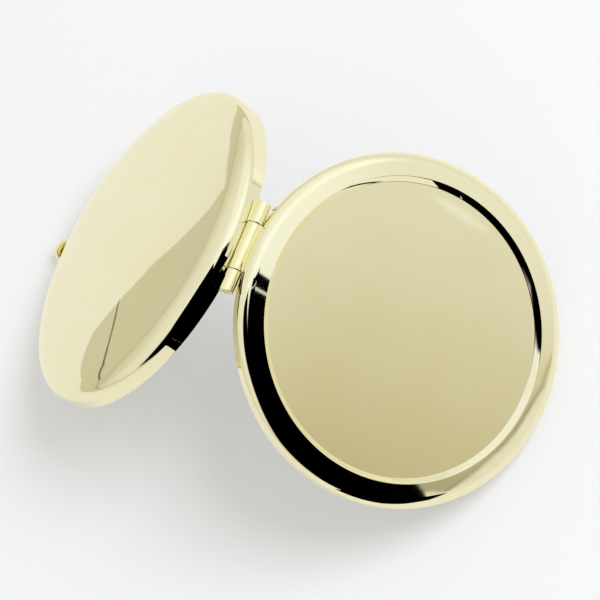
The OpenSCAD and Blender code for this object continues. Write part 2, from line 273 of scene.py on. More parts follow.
def inner_round(centre: Point, big: float, wall: float, side: int, small: float) -> tuple[Point, float]:
    """Centre of the round edge between an arc and an upright wall, and where the arc meets it.

    Args:
        centre: Centre of the arc.
        big: Radius of the arc.
        wall: Radius of the upright wall.
        side: 1 where the wall is on the right of the metal, -1 on its left.
        small: Radius of the round edge.

    Returns:
        The round edge's centre, and the angle in degrees at which it meets the arc.
    """
    x = wall - side * small
    z = centre[1] + math.sqrt((big - small) ** 2 - (x - centre[0]) ** 2)
    return (x, z), math.degrees(math.atan2(z - centre[1], x - centre[0]))


def cap(reach: float, rise: float) -> tuple[float, float]:
    """The ball that a shallow cap is part of.

    Args:
        reach: Radius of the cap's rim in millimetres.
        rise: Height of the cap over its rim.

    Returns:
        The ball's radius, and the cap's slope at its rim in degrees.
    """
    ball = (reach ** 2 + rise ** 2) / (2 * rise)
    return ball, math.degrees(math.asin(reach / ball))


def propped(profile: Sequence[Point], near: float = 0.05, least: float = 0.5) -> list[Point]:
    """Adds a point near each end of every long straight line, so that shading stays flat between them.

    Args:
        profile: Corners of the profile.
        near: Distance of the added points from the ends in millimetres.
        least: Length of the shortest line that gets them.

    Returns:
        The profile with the added points.
    """
    points = [profile[0]]
    for start, end in zip(profile, profile[1:]):
        length = math.dist(start, end)
        if length > least:
            share = near / length
            across, up = end[0] - start[0], end[1] - start[1]
            points.append((start[0] + across * share, start[1] + up * share))
            points.append((end[0] - across * share, end[1] - up * share))
        points.append(end)
    return points


# ---------------------------------------------------------------------------------------------
# Modelling steps
# ---------------------------------------------------------------------------------------------


class Bench:
    """Modelling steps that several pieces share, done as by hand with Blender's operators."""

    @staticmethod
    def clear() -> None:
        """Leaves edit mode and deselects everything."""
        active = bpy.context.view_layer.objects.active
        if active is not None and active.mode != "OBJECT":
            bpy.ops.object.mode_set(mode="OBJECT")
        bpy.ops.object.select_all(action="DESELECT")

    @staticmethod
    def hold(piece: Piece) -> None:
        """Selects one piece alone and makes it active.

        Args:
            piece: Piece to work on.
        """
        Bench.clear()
        piece.select_set(True)
        bpy.context.view_layer.objects.active = piece

    @staticmethod
    def named(name: str) -> Piece:
        """Gives the new active object and its mesh their name.

        Args:
            name: Name for both.

        Returns:
            The object.
        """
        piece = bpy.context.view_layer.objects.active
        piece.name = name
        piece.data.name = name
        return piece

    @staticmethod
    def draw(name: str, points: Sequence[Corner], closed: bool) -> Piece:
        """Draws a line point by point, and stays in edit mode with all of it selected.

        Args:
            name: Name of the new piece.
            points: Corners of the line in millimetres.
            closed: Whether the line ends where it starts.

        Returns:
            The piece, which is only edges so far.
        """
        Bench.clear()
        bpy.ops.mesh.primitive_plane_add(size=MM)
        piece = Bench.named(name)
        bpy.ops.object.mode_set(mode="EDIT")
        bpy.ops.mesh.select_all(action="SELECT")
        bpy.ops.mesh.merge(type="CENTER")
        bpy.ops.transform.translate(value=Vector(points[0]) * MM)
        path = list(points)
        if closed:
            path.append(points[0])
        for start, end in zip(path, path[1:]):
            step = (Vector(end) - Vector(start)) * MM
            bpy.ops.mesh.extrude_region_move(TRANSFORM_OT_translate={"value": step})
        bpy.ops.mesh.select_all(action="SELECT")
        bpy.ops.mesh.remove_doubles(threshold=MERGE_GAP)
        return piece

    @staticmethod
    def turned(name: str, profile: Sequence[Point], closed: bool, steps: int = TURN_STEPS) -> Piece:
        """Draws a profile of radius and height and spins it once round the upright axis.

        Args:
            name: Name of the new piece.
            profile: Corners of the profile in millimetres.
            closed: True for a ring, False for a profile that starts and ends on the axis.
            steps: Number of steps of the spin.

        Returns:
            The closed solid, smooth but for its sharp edges.
        """
        points = propped(profile)
        if not closed:
            points[0] = (0.0, points[0][1])
            points[-1] = (0.0, points[-1][1])
        piece = Bench.draw(name, [(r, 0.0, z) for r, z in points], closed)
        bpy.ops.mesh.spin(steps=steps, angle=math.tau, center=(0, 0, 0), axis=(0, 0, 1))
        bpy.ops.mesh.select_all(action="SELECT")
        bpy.ops.mesh.remove_doubles(threshold=MERGE_GAP)
        bpy.ops.mesh.normals_make_consistent(inside=False)
        Bench.smooth(piece)
        return piece

    @staticmethod
    def drawn_out(name: str, outline: Sequence[Corner], way: Corner, bevel: float = 0.0) -> Piece:
        """Fills an outline and extrudes it, as a bar cut from a drawn section.

        Args:
            name: Name of the new piece.
            outline: Corners of the section in millimetres, in one plane.
            way: Direction and length of the extrusion in millimetres.
            bevel: Width of the bevel on its sharp edges in millimetres.

        Returns:
            The closed solid.
        """
        piece = Bench.draw(name, outline, True)
        bpy.ops.mesh.edge_face_add()
        length = Vector(way).length
        end = min(END_PART, length / 4)
        for part in (end, length - 2 * end, end):
            step = Vector(way).normalized() * part * MM
            bpy.ops.mesh.extrude_region_move(TRANSFORM_OT_translate={"value": step})
        bpy.ops.mesh.select_all(action="SELECT")
        bpy.ops.mesh.normals_make_consistent(inside=False)
        bpy.ops.object.mode_set(mode="OBJECT")
        if bevel > 0:
            Bench.bevel(piece, bevel)
        Bench.smooth(piece)
        return piece

    @staticmethod
    def block(name: str, low: Corner, high: Corner, bevel: float = 0.0) -> Piece:
        """A box between two corners, by extruding its floor upwards.

        Args:
            name: Name of the new piece.
            low: Its lowest corner in millimetres.
            high: Its highest corner.
            bevel: Width of the bevel on its edges in millimetres.

        Returns:
            The closed box.
        """
        ends = ((low[0], low[1]), (high[0], low[1]), (high[0], high[1]), (low[0], high[1]))
        floor = [(x, y, low[2]) for x, y in ends]
        return Bench.drawn_out(name, floor, (0.0, 0.0, high[2] - low[2]), bevel)

    @staticmethod
    def rod(name: str, radius: float, start: Corner, end: Corner, sides: int = 64) -> Piece:
        """A round bar between two points, used as a drill or as a pin.

        Args:
            name: Name of the new piece.
            radius: Radius in millimetres.
            start: Middle of one end in millimetres.
            end: Middle of the other end.
            sides: Number of sides.

        Returns:
            The closed bar.
        """
        way = Vector(end) - Vector(start)
        turn = way.to_track_quat("Z", "Y").to_euler()
        Bench.clear()
        bpy.ops.mesh.primitive_circle_add(
            vertices=sides, radius=radius * MM, fill_type="NGON", location=Vector(start) * MM, rotation=turn)
        piece = Bench.named(name)
        bpy.ops.object.transform_apply(location=True, rotation=True, scale=True)
        bpy.ops.object.mode_set(mode="EDIT")
        bpy.ops.mesh.select_all(action="SELECT")
        bpy.ops.mesh.extrude_region_move(TRANSFORM_OT_translate={"value": way * MM})
        bpy.ops.mesh.select_all(action="SELECT")
        bpy.ops.mesh.normals_make_consistent(inside=False)
        Bench.smooth(piece)
        return piece

    @staticmethod
    def apply(piece: Piece, kind: str, **settings: Any) -> None:
        """Adds a modifier with its settings and applies it.

        Args:
            piece: Piece that gets it.
            kind: Blender's name of the kind of modifier.
            settings: Properties of the modifier.
        """
        Bench.hold(piece)
        modifier = piece.modifiers.new(kind.title(), kind)
        for name, value in settings.items():
            setattr(modifier, name, value)
        bpy.ops.object.modifier_apply(modifier=modifier.name)

    @staticmethod
    def bevel(piece: Piece, width: float, segments: int = 3, angle: float = 40.0) -> None:
        """Rounds the sharp edges of a piece by a width in millimetres."""
        Bench.apply(piece, "BEVEL", width=width * MM, segments=segments, limit_method="ANGLE",
                    angle_limit=math.radians(angle), use_clamp_overlap=True)

    @staticmethod
    def cut(piece: Piece, *cutters: Piece) -> None:
        """Cuts the cutters out of a piece one after another, and throws them away.

        Args:
            piece: Piece that is cut.
            cutters: Solids to take away from it.
        """
        for cutter in cutters:
            Bench.apply(piece, "BOOLEAN", operation="DIFFERENCE", solver="EXACT", object=cutter)
            Bench.discard(cutter)
        Bench.smooth(piece)

    @staticmethod
    def fuse(piece: Piece, *others: Piece) -> None:
        """Joins other solids to a piece as one solid.

        Args:
            piece: Piece that they join.
            others: Solids that overlap it.
        """
        for other in others:
            Bench.apply(piece, "BOOLEAN", operation="UNION", solver="EXACT", object=other)
            Bench.discard(other)
        Bench.smooth(piece)

    @staticmethod
    def discard(piece: Piece) -> None:
        """Deletes a helper and its mesh.

        Args:
            piece: Helper that is no longer needed.
        """
        mesh = piece.data
        bpy.data.objects.remove(piece)
        bpy.data.meshes.remove(mesh)

    @staticmethod
    def smooth(piece: Piece, angle: float = 32.0) -> None:
        """Shades a piece smooth but for edges sharper than an angle in degrees."""
        Bench.hold(piece)
        bpy.ops.object.shade_smooth_by_angle(angle=math.radians(angle))

    @staticmethod
    def place(piece: Piece, where: Matrix) -> None:
        """Moves a piece to its place and puts that place into its mesh.

        Args:
            piece: Piece to move.
            where: Its place in the open case.
        """
        Bench.hold(piece)
        piece.matrix_world = where
        bpy.ops.object.transform_apply(location=True, rotation=True, scale=True)


# ---------------------------------------------------------------------------------------------
# Finishes
# ---------------------------------------------------------------------------------------------


def linear(hex_colour: str) -> tuple[float, float, float, float]:
    """Turns an sRGB hex colour into Blender's linear one.

    Args:
        hex_colour: Colour such as #ECE6C0.

    Returns:
        Red, green, blue and a full alpha.
    """
    values = []
    for start in (1, 3, 5):
        share = int(hex_colour[start:start + 2], 16) / 255
        values.append(share / 12.92 if share <= 0.04045 else ((share + 0.055) / 1.055) ** 2.4)
    return (values[0], values[1], values[2], 1.0)


def add_node(tree: Tree, kind: str, inputs: dict[Any, Any] | None = None,
             **settings: Any) -> bpy.types.Node:
    """Adds a node with its settings, values and links.

    Args:
        tree: Node tree that gets the node.
        kind: Blender's name of the kind of node.
        inputs: Value, or socket to link from, for inputs by name or number.
        settings: Properties of the node itself.

    Returns:
        The new node.
    """
    node = tree.nodes.new(kind)
    for name, value in settings.items():
        setattr(node, name, value)
    for key, value in (inputs or {}).items():
        if isinstance(value, bpy.types.NodeSocket):
            tree.links.new(value, node.inputs[key])
        else:
            node.inputs[key].default_value = value
    return node


def new_material(name: str) -> tuple[bpy.types.Material, Tree]:
    """A new material with an empty node tree.

    Args:
        name: Name of the material.

    Returns:
        The material and its tree.
    """
    material = bpy.data.materials.new(name)
    material.use_nodes = True
    material.node_tree.nodes.clear()
    return material, material.node_tree


@dataclass(frozen=True)
class Finish:
    """A finish with its name, its two near colours, and the patches in which colour and haze drift."""

    name: str
    colour: str
    shade: str
    roughness: float
    haze: float
    patch_mm: float

    def surface(self, tree: Tree, spot: Socket) -> dict[str, Any]:
        """What a kind of finish adds to the shader."""
        return {}

    def make(self) -> bpy.types.Material:
        """Builds the material.

        Returns:
            The material, the same on every piece that carries it.
        """
        material, tree = new_material(self.name)
        spot = add_node(tree, "ShaderNodeTexCoord").outputs["Object"]
        patches = add_node(tree, "ShaderNodeTexNoise",
                           {"Vector": spot, "Scale": 1 / (self.patch_mm * MM), "Detail": 3.0})
        drift = {"Value": patches.outputs["Fac"], "From Min": NOISE_LOW, "From Max": NOISE_HIGH}
        share = add_node(tree, "ShaderNodeMapRange", drift | {"To Min": 0.0, "To Max": 1.0})
        tint = add_node(tree, "ShaderNodeMix",
                        {0: share.outputs[0], MIX_A: linear(self.colour), MIX_B: linear(self.shade)},
                        data_type="RGBA")
        rough = add_node(tree, "ShaderNodeMapRange",
                         drift | {"To Min": self.roughness, "To Max": self.roughness + self.haze})
        inputs = {"Base Color": tint.outputs[MIX_RESULT], "Roughness": rough.outputs[0]}
        shader = add_node(tree, "ShaderNodeBsdfPrincipled", inputs | self.surface(tree, spot))
        add_node(tree, "ShaderNodeOutputMaterial", {"Surface": shader.outputs["BSDF"]})
        return material


@dataclass(frozen=True)
class PolishedPlating(Finish):
    """Thin gold over polished brass: a mirror, with faint haze from buffing and a swell of the sheet.

    The buffing lines are finer on the real case and are drawn this coarse so that they show at all.
    """

    ripple_mm: float = 16.0
    ripple_depth_mm: float = 0.0006
    scratch_mm: float = 0.25
    scratch_depth_mm: float = 0.00002

    def surface(self, tree: Tree, spot: Socket) -> dict[str, Any]:
        """A metal with the swell of the sheet, which bends long reflections, under fine scratches.

        Args:
            tree: The material's nodes.
            spot: Object coordinates.

        Returns:
            The shader's inputs.
        """
        normal = None
        for size, detail, depth in ((self.ripple_mm, 0.0, self.ripple_depth_mm),
                                    (self.scratch_mm, 2.0, self.scratch_depth_mm)):
            pattern = add_node(tree, "ShaderNodeTexNoise",
                               {"Vector": spot, "Scale": 1 / (size * MM), "Detail": detail})
            inputs = {"Height": pattern.outputs["Fac"], "Strength": 1.0, "Distance": depth * MM}
            if normal is not None:
                inputs["Normal"] = normal
            normal = add_node(tree, "ShaderNodeBump", inputs).outputs["Normal"]
        return {"Metallic": 1.0, "Normal": normal}


@dataclass(frozen=True)
class SilveredGlass(Finish):
    """Float glass silvered on its back: a cool clean mirror under a clear coat."""

    def surface(self, tree: Tree, spot: Socket) -> dict[str, Any]:
        """A mirror under a clear coat, which gives it the second faint gleam of glass."""
        return {"Metallic": 1.0, "Coat Weight": 1.0, "Coat Roughness": 0.01}


@dataclass(frozen=True)
class MouldedPart(Finish):
    """Moulded ABS or foam: a plain solid colour with a spark-eroded grain, a little coarser than real."""

    grain_mm: float = 0.15
    grain_depth_mm: float = 0.01

    def surface(self, tree: Tree, spot: Socket) -> dict[str, Any]:
        """The grain, which takes the gloss off a moulded face.

        Args:
            tree: The material's nodes.
            spot: Object coordinates.

        Returns:
            The shader's inputs.
        """
        grain = add_node(tree, "ShaderNodeTexNoise",
                         {"Vector": spot, "Scale": 1 / (self.grain_mm * MM), "Detail": 2.0})
        inputs = {"Height": grain.outputs["Fac"], "Strength": 1.0, "Distance": self.grain_depth_mm * MM}
        return {"Normal": add_node(tree, "ShaderNodeBump", inputs).outputs["Normal"]}


class Surface(Enum):
    """The finishes of this compact, by what carries them."""

    # Pale gold: nearly white, so that it mirrors the tent almost as bright as it is, with a warm cast.
    CASE = PolishedPlating("pale_gold_plating", "#ECE6C0", "#EBE4BB", 0.012, 0.008, 11.0)
    # The same bath over rolled strip and turned brass: a little yellower, with softer highlights. The
    # hinge's colour is also a little paler than the case's, a painted highlight that whitens the knuckles.
    HINGE = PolishedPlating("pale_gold_hinge_plating", "#F2EABC", "#F0E7B2", 0.03, 0.02, 3.0)
    BUTTON = PolishedPlating("gold_button_plating", "#EEE6B6", "#ECE2A8", 0.05, 0.03, 2.0)
    # Bare drawn brass, plainly yellower and duller than the plating round it.
    PIN = PolishedPlating("drawn_brass", "#D8BC74", "#CDAE62", 0.16, 0.08, 1.0)
    # Dull nickel on spring steel, a grey metal that doesn't pass for the gold.
    STEEL = PolishedPlating("nickel_plated_steel", "#C9C6BE", "#BCB9B0", 0.22, 0.08, 2.0)
    # Cool and sharp beside the warm metal.
    GLASS = SilveredGlass("silvered_glass", "#E9EEEC", "#E6ECEA", 0.008, 0.006, 20.0)
    # Plastic coloured to match the metal, and dark foam that shows as a shadow line.
    FRAME = MouldedPart("gold_abs", "#C6A55A", "#C09E52", 0.35, 0.1, 5.0)
    FOAM = MouldedPart("grey_foam", "#5A5A5C", "#505052", 0.85, 0.1, 1.5, 0.4, 0.06)

    def __init__(self, finish: Finish) -> None:
        """Keeps the finish under a plain name."""
        self.finish = finish


class Wardrobe:
    """Builds each finish once and puts it on pieces."""

    def __init__(self) -> None:
        """Starts with no material built."""
        self.made: dict[Surface, bpy.types.Material] = {}

    def dress(self, piece: Piece, surface: Surface) -> None:
        """Puts a finish on the whole of a piece.

        Args:
            piece: Piece or carried-over CAD node.
            surface: Finish to put on.
        """
        if surface not in self.made:
            self.made[surface] = surface.finish.make()
        if not piece.material_slots:
            piece.data.materials.append(self.made[surface])
        for slot in piece.material_slots:
            slot.material = self.made[surface]


# ---------------------------------------------------------------------------------------------
# The case
# ---------------------------------------------------------------------------------------------


class Half:
    """Shared by both halves of the case: where they are, and how a finished piece joins its body."""

    body = ""

    def __init__(self, hinge: Vector, turn: Matrix, wardrobe: Wardrobe) -> None:
        """Keeps the place of the half.

        Args:
            hinge: Point on the hinge axis, in metres.
            turn: Rotation from the half lying flat to the open case.
            wardrobe: Where the finishes come from.
        """
        self.case = CaseSizes()
        self.hinge = HingeSizes()
        self.latch = LatchSizes()
        self.place = Matrix.Translation(hinge) @ turn
        self.disc = self.place @ Matrix.Translation((self.case.reach * MM, 0, 0))
        self.wardrobe = wardrobe

    def finish(self, piece: Piece, surface: Surface, slot: str, *nodes: str) -> None:
        """Dresses a piece, rides it on this half's body and lets it stand for its CAD nodes.

        Args:
            piece: The finished piece, in its place.
            surface: Its finish.
            slot: Name of its slot; not used.
            nodes: CAD nodes that it stands for.
        """
        self.wardrobe.dress(piece, surface)
        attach(piece, self.body)
        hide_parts(*nodes)
        log.info("%s: %d faces on %s", piece.name, len(piece.data.polygons), self.body)

    def barrel_room(self) -> Piece:
        """Cutter that leaves room for the hinge barrel in the rims.

        Returns:
            The rod, in the disc's flat frame.
        """
        half = self.hinge.barrel_half + self.hinge.barrel_clear
        x = -self.case.reach
        radius = self.hinge.barrel_r + self.hinge.barrel_clear
        return Bench.rod("barrel_room", radius, (x, -half, 0.0), (x, half, 0.0))

    def tongue_slot(self, middle: float, half: float) -> Piece:
        """Cutter for a leaf's tongue in the wall.

        Args:
            middle: Place of the tongue's middle along the hinge, in millimetres.
            half: Half of its width.

        Returns:
            The block, in the disc's flat frame.
        """
        size = self.hinge
        play = size.slide
        x = -self.case.reach
        low = (x, middle - half - play, size.leaf_z - play)
        high = (x + size.leaf_reach + play, middle + half + play, size.leaf_z + size.leaf_t + play)
        return Bench.block("tongue_slot", low, high)

    def hook_slot(self, reach: Point, half: float) -> Piece:
        """Cutter for the hook's opening in a trim ring.

        Args:
            reach: Where it starts and ends from the disc's middle, in millimetres.
            half: Half of its width.

        Returns:
            The block, in the disc's flat frame.
        """
        return Bench.block("hook_slot", (reach[0], -half, 0.0), (reach[1], half, self.latch.slot_top))

    def plate(self, name: str, half: float) -> Piece:
        """The flat of a leaf, inside the wall.

        Args:
            name: Name of the new piece.
            half: Half of its width in millimetres.

        Returns:
            The plate, in the half's flat frame.
        """
        size = self.hinge
        return Bench.block(name, (size.leaf_reach - size.leaf_grip, -half, size.leaf_z),
                           (size.leaf_reach, half, size.leaf_z + size.leaf_t), size.plate_edge)

    def knuckle(self, name: str, low: float, high: float) -> Piece:
        """One knuckle and its tongue, rolled from one strip of sheet.

        Args:
            name: Name of the new piece.
            low: Place of its one end along the hinge, in millimetres.
            high: Place of its other end.

        Returns:
            The knuckle, in the half's flat frame.
        """
        size = self.hinge
        top = size.leaf_z + size.leaf_t
        meet = math.degrees(math.asin(top / size.barrel_r))
        under = math.degrees(math.asin(size.leaf_z / size.barrel_r))
        tongue = size.leaf_reach - size.leaf_grip + size.tuck
        outline = [(tongue, top)]
        outline += arc((0.0, 0.0), size.barrel_r, meet, size.seam, 44)
        outline += arc((0.0, 0.0), size.bore_r, size.seam, under, 36)
        outline += [(size.barrel_r * math.cos(math.radians(under)), size.leaf_z), (tongue, size.leaf_z)]
        section = [(x, low, z) for x, z in outline]
        return Bench.drawn_out(name, section, (0.0, high - low, 0.0), size.knuckle_edge)

    def rim_lips(self) -> list[Point]:
        """Both rounded corners of a shell's rim, from the outside in.

        Returns:
            Their part of the profile.
        """
        case = self.case
        lip = case.lip_round
        outer = arc((case.case_r - lip, case.rim_z + lip), lip, 0.0, -90.0, 4)
        return outer + arc((case.inner_r + lip, case.rim_z + lip), lip, 270.0, 180.0, 4)

    def glass_rim(self, back: float) -> list[Point]:
        """The ground edge of a mirror and the way along its back to the axis.

        Args:
            back: Height of the mirror's back in millimetres.

        Returns:
            Their part of the profile.
        """
        case = self.case
        edge = case.glass_edge
        ground = [(case.mirror_r - edge, case.glass_z), (case.mirror_r, case.glass_z + edge)]
        return ground + [(case.mirror_r, back - edge), (case.mirror_r - edge, back), (0.0, back)]

    def trim_ring(self, name: str) -> Piece:
        """The ring that holds a mirror, with a round inner lip and a turned groove round it.

        Args:
            name: Name of the new piece.

        Returns:
            The ring, in the disc's flat frame.
        """
        case = self.case
        bead = case.bezel_t / 2
        lip = case.mirror_r - case.bezel_lip + bead
        low = case.bezel_z
        high = case.glass_z
        ring = RingSizes()
        edge = ring.edge
        near = lip + ring.groove_in
        far = near + ring.groove_w
        bottom = low + ring.groove_depth
        profile = arc((lip, low + bead), bead, 90.0, 270.0, 12)
        profile += [(near, low), (near + ring.groove_side, bottom)]
        profile += [(far - ring.groove_side, bottom), (far, low)]
        profile += arc((case.fill_r - edge, low + edge), edge, 270.0, 360.0, 4)
        profile += arc((case.fill_r - edge, high - edge), edge, 0.0, 90.0, 4)
        return Bench.turned(name, profile, True)


class DomedBase(Half):
    """The base half: domed shell, magnifying mirror and trim ring, hinge leaf with two knuckles, pin."""

    body = "base"

    def middle_slot(self) -> Piece:
        """Cutter for the opening that the middle knuckle swings in.

        Returns:
            The block, in the disc's flat frame.
        """
        size = self.hinge
        x = -self.case.reach
        half = size.middle_half + size.knuckle_gap
        return Bench.block("middle_slot", (x - PAST, -half, -PAST),
                           (x + size.leaf_reach - size.leaf_grip, half, size.slot_h))

    def shell(self) -> None:
        """Turns the domed shell and cuts the openings for the hinge and the button."""
        case = self.case
        size = self.hinge
        wall = case.shell_t
        edge, meet = inner_round(case.shoulder, case.shoulder_r, case.case_r, 1, case.base_round)
        dome = (0.0, case.dome_z)
        join = 90.0 - case.dome_slope
        profile = arc(dome, case.dome_r, 90.0, join, 40)
        profile += arc(case.shoulder, case.shoulder_r, join, meet, 26)[1:]
        profile += arc(edge, case.base_round, meet, 0.0, 12)[1:]
        profile += self.rim_lips()
        inside, turn = inner_round(case.shoulder, case.shoulder_r - wall, case.inner_r, 1, case.inner_round)
        profile += arc(inside, case.inner_round, 0.0, turn, 5)
        profile += arc(case.shoulder, case.shoulder_r - wall, turn, join, 10)[1:]
        profile += arc(dome, case.dome_r - wall, join, 90.0, 10)[1:]
        piece = Bench.turned("domed_shell", profile, False)
        half = size.middle_half + size.knuckle_gap
        button = ButtonSizes()
        cutters = [self.barrel_room()]
        outer_half = (size.barrel_half - half) / 2
        for side in (-1, 1):
            cutters.append(self.tongue_slot(side * (size.barrel_half - outer_half), outer_half))
        cutters.append(self.middle_slot())
        ends = (case.inner_r - PAST, 0.0, button.height), (case.case_r + PAST, 0.0, button.height)
        cutters.append(Bench.rod("button_hole", button.neck_r + button.neck_clear, *ends))
        Bench.cut(piece, *cutters)
        Bench.place(piece, self.disc)
        self.finish(piece, Surface.CASE, "plated_shell", "base_shell")

    def leaf(self) -> None:
        """Rolls the two outer knuckles and joins them to the plate inside the wall."""
        size = self.hinge
        low = size.middle_half + size.knuckle_gap
        piece = self.knuckle("base_knuckles", low, size.barrel_half)
        other = self.knuckle("other_knuckle", -size.barrel_half, -low)
        Bench.fuse(piece, other, self.plate("base_leaf_plate", size.barrel_half))
        Bench.place(piece, self.place)
        self.finish(piece, Surface.HINGE, "plated_hinge", "base_hinge_leaf")

    def pin(self) -> None:
        """Turns the hinge pin with its slightly domed ends."""
        size = self.hinge
        tip = size.barrel_half + size.pin_proud
        ball, slope = cap(size.pin_r, size.pin_proud)
        profile = arc((0.0, tip - ball), ball, 90.0, 90.0 - slope, 6)
        profile += arc((0.0, ball - tip), ball, slope - 90.0, -90.0, 6)
        piece = Bench.turned("hinge_pin_turned", profile, False, PIN_TURN_STEPS)
        Bench.place(piece, self.place @ Matrix.Rotation(math.radians(90), 4, "X"))
        self.finish(piece, Surface.PIN, "hinge_pin_brass", "hinge_pin")

    def ring(self) -> None:
        """Turns the trim ring and opens it for the hinge and the hook."""
        piece = self.trim_ring("base_trim_ring")
        hook = self.hook_slot(self.latch.base_slot, self.latch.base_half)
        Bench.cut(piece, self.barrel_room(), self.middle_slot(), hook)
        Bench.place(piece, self.disc)
        self.finish(piece, Surface.CASE, "plated_trim", "base_bezel")

    def mirror(self) -> None:
        """Turns the magnifying mirror, hollow in front and bevelled round its edge."""
        case = self.case
        reach = case.mirror_r - case.bezel_lip
        ball, slope = cap(reach, case.magnifier_dip)
        front = arc((0.0, case.glass_z + case.magnifier_dip - ball), ball, 90.0, 90.0 - slope, 24)
        profile = front + self.glass_rim(case.glass_z + case.base_glass_t)
        piece = Bench.turned("magnifying_mirror", profile, False)
        Bench.place(piece, self.disc)
        self.finish(piece, Surface.GLASS, "mirror_glass", "base_mirror")

    def build(self) -> None:
        """Builds every piece of the base half."""
        self.shell()
        self.leaf()
        self.pin()
        self.ring()
        self.mirror()


class RimmedLid(Half):
    """The lid half: shell with raised rim and insert recess, flat mirror, trim ring, middle knuckle."""

    body = "lid"

    def outer_edge(self) -> Point:
        """Centre of the round outer edge, which the slightly sloping rim runs into.

        Returns:
            The centre, as radius and height.
        """
        case = self.case
        slope = math.radians(case.rim_slope)
        x = case.case_r - case.lid_round
        run = x + case.lid_round * math.sin(slope) - case.step_r
        return (x, case.lid_h - run * math.tan(slope) - case.lid_round * math.cos(slope))

    def recess_step(self) -> list[Point]:
        """The stamped step up from the recess: steep at its foot, easier at its top, with a crisp edge.

        Returns:
            Its part of the profile, from the floor up.
        """
        case = self.case
        foot = case.step_foot
        steep = math.radians(case.step_slope)
        start = (case.recess_r - foot * math.tan(steep / 2), case.recess_z + foot)
        points = arc(start, foot, 270.0, 270.0 + case.step_slope, 6)
        turn = math.radians(case.step_end_slope)
        edge = case.step_round
        top = (case.step_r, case.lid_h - edge)
        end = (top[0] - edge * math.sin(turn), top[1] + edge * math.cos(turn))
        first = points[-1]
        run = end[0] - first[0]
        climb = end[1] - first[1]
        steps = 14
        for step in range(1, steps):
            share = step / steps
            ease = 1.0 + (math.tan(steep) * run / climb - 1.0) * (1.0 - share)
            points.append((first[0] + run * share, first[1] + climb * share * ease))
        return points + arc(top, edge, 90.0 + case.step_end_slope, 90.0 - case.rim_slope, 10)

    def shell(self) -> None:
        """Turns the shell with its raised rim and sunk floor, and cuts the opening for the hinge."""
        case = self.case
        wall = case.shell_t
        crown = case.crown
        outer = self.outer_edge()
        profile = [(r, case.recess_z) for r in (0.0, *case.floor_rings, case.floor_flat_r)]
        profile += self.recess_step()
        profile += arc(outer, case.lid_round, 90.0 - case.rim_slope, 0.0, 24)
        far, far_turn = inner_round(crown, case.crown_r, case.case_r, 1, case.lid_round)
        profile += self.rim_lips()
        under = case.recess_z - wall
        inset = case.crown_r - wall
        inner_turn = math.degrees(math.acos((case.recess_r + wall - crown[0]) / inset))
        profile += arc(far, case.lid_round - wall, 0.0, far_turn, 8)
        profile += arc(crown, inset, far_turn, inner_turn, 6)[1:]
        profile += [(r, under) for r in (case.recess_r + wall, case.floor_rings[1], 0.0)]
        piece = Bench.turned("rimmed_shell", profile, False)
        Bench.cut(piece, self.barrel_room(), self.tongue_slot(0.0, self.hinge.middle_half))
        Bench.place(piece, self.disc)
        self.finish(piece, Surface.CASE, "plated_shell", "lid_shell")

    def leaf(self) -> None:
        """Rolls the middle knuckle and joins it to the plate inside the wall."""
        size = self.hinge
        piece = self.knuckle("middle_knuckle", -size.middle_half, size.middle_half)
        Bench.fuse(piece, self.plate("lid_leaf_plate", (size.middle_half + size.barrel_half) / 2))
        Bench.place(piece, self.place)
        self.finish(piece, Surface.HINGE, "plated_hinge", "lid_hinge_leaf")

    def ring(self) -> None:
        """Turns the trim ring and opens it for the hinge and the hook."""
        piece = self.trim_ring("lid_trim_ring")
        Bench.cut(piece, self.barrel_room(), self.hook_slot(self.latch.lid_slot, self.latch.lid_half))
        Bench.place(piece, self.disc)
        self.finish(piece, Surface.CASE, "plated_trim", "lid_bezel")

    def mirror(self) -> None:
        """Turns the flat mirror with its bevelled edge."""
        case = self.case
        profile = [(0.0, case.glass_z), (case.floor_rings[1], case.glass_z)]
        profile += self.glass_rim(case.glass_z + case.lid_glass_t)
        piece = Bench.turned("flat_mirror", profile, False)
        Bench.place(piece, self.disc)
        self.finish(piece, Surface.GLASS, "mirror_glass", "lid_mirror")

    def build(self) -> None:
        """Builds every piece of the lid half."""
        self.shell()
        self.leaf()
        self.ring()
        self.mirror()


class PushButton(Half):
    """The push button: a turned cap with a neck and a riveted tail."""

    body = "button"

    def cap(self) -> None:
        """Turns the cap, its neck and its tail as one piece."""
        size = ButtonSizes()
        ball, slope = cap(size.cap_r, size.dome)
        back = self.case.case_r + size.stand
        edge = size.rim_edge
        middle = (0.0, back + size.straight + size.dome - ball)
        profile = arc(middle, ball, 90.0, 90.0 - slope, 18)
        profile += arc((size.cap_r - edge, back + edge), edge, 0.0, -90.0, 6)
        profile += [(size.neck_r + size.neck_edge, back), (size.neck_r, back - size.neck_edge)]
        profile += [(size.neck_r, size.tab_out), (size.tail_r, size.tab_out)]
        profile += [(size.tail_r, size.tab_in), (0.0, size.tab_in)]
        piece = Bench.turned("turned_button", profile, False, BUTTON_TURN_STEPS)
        reach = Matrix.Translation((self.case.reach * MM, 0, size.height * MM))
        Bench.place(piece, self.place @ reach @ Matrix.Rotation(math.radians(90), 4, "Y"))
        self.finish(piece, Surface.BUTTON, "plated_button", "button_cap")

    def build(self) -> None:
        """Builds the button."""
        self.cap()


# ---------------------------------------------------------------------------------------------
# Studio
# ---------------------------------------------------------------------------------------------


